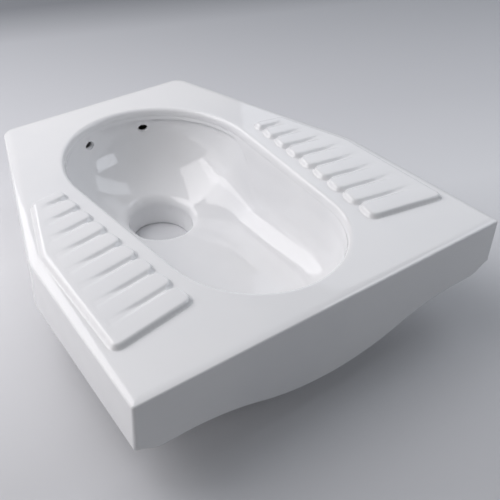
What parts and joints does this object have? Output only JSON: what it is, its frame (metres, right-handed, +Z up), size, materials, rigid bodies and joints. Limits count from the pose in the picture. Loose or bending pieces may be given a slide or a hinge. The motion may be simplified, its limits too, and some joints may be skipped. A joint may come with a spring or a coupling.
{
  "type": "squat toilet",
  "caption": "Floor-set squat toilet pan of white glazed china with ribbed foot treads, a rolled-lip basin with flush jets, a round drain and a bellied front apron.",
  "frame": {"origin": "centre of the bounding box's footprint, at the level of the feet and the end of the outlet spigot", "axes": "+X to the right of a person standing at the front edge and looking to the rear, +Y from the front edge towards the rear edge with the flush inlet, +Z up"},
  "size_m": [0.5484, 0.55, 0.157],
  "materials": {
    "glazed china": "glossy white glaze",
    "unglazed china": "matt fired body",
    "seal rubber": "matt"
  },
  "bodies": {
    "root": {"deck": "glazed china", "basin": "glazed china", "left_tread": "glazed china", "right_tread": "glazed china", "outlet_spigot": "glazed china", "outlet_seal": "seal rubber", "flush_box": "unglazed china", "inlet_socket": "glazed china", "inlet_seal": "seal rubber", "left_front_web": "unglazed china", "left_rear_web": "unglazed china", "right_front_web": "unglazed china", "right_rear_web": "unglazed china", "left_foot": "unglazed china", "right_foot": "unglazed china"}
  },
  "joints": []
}
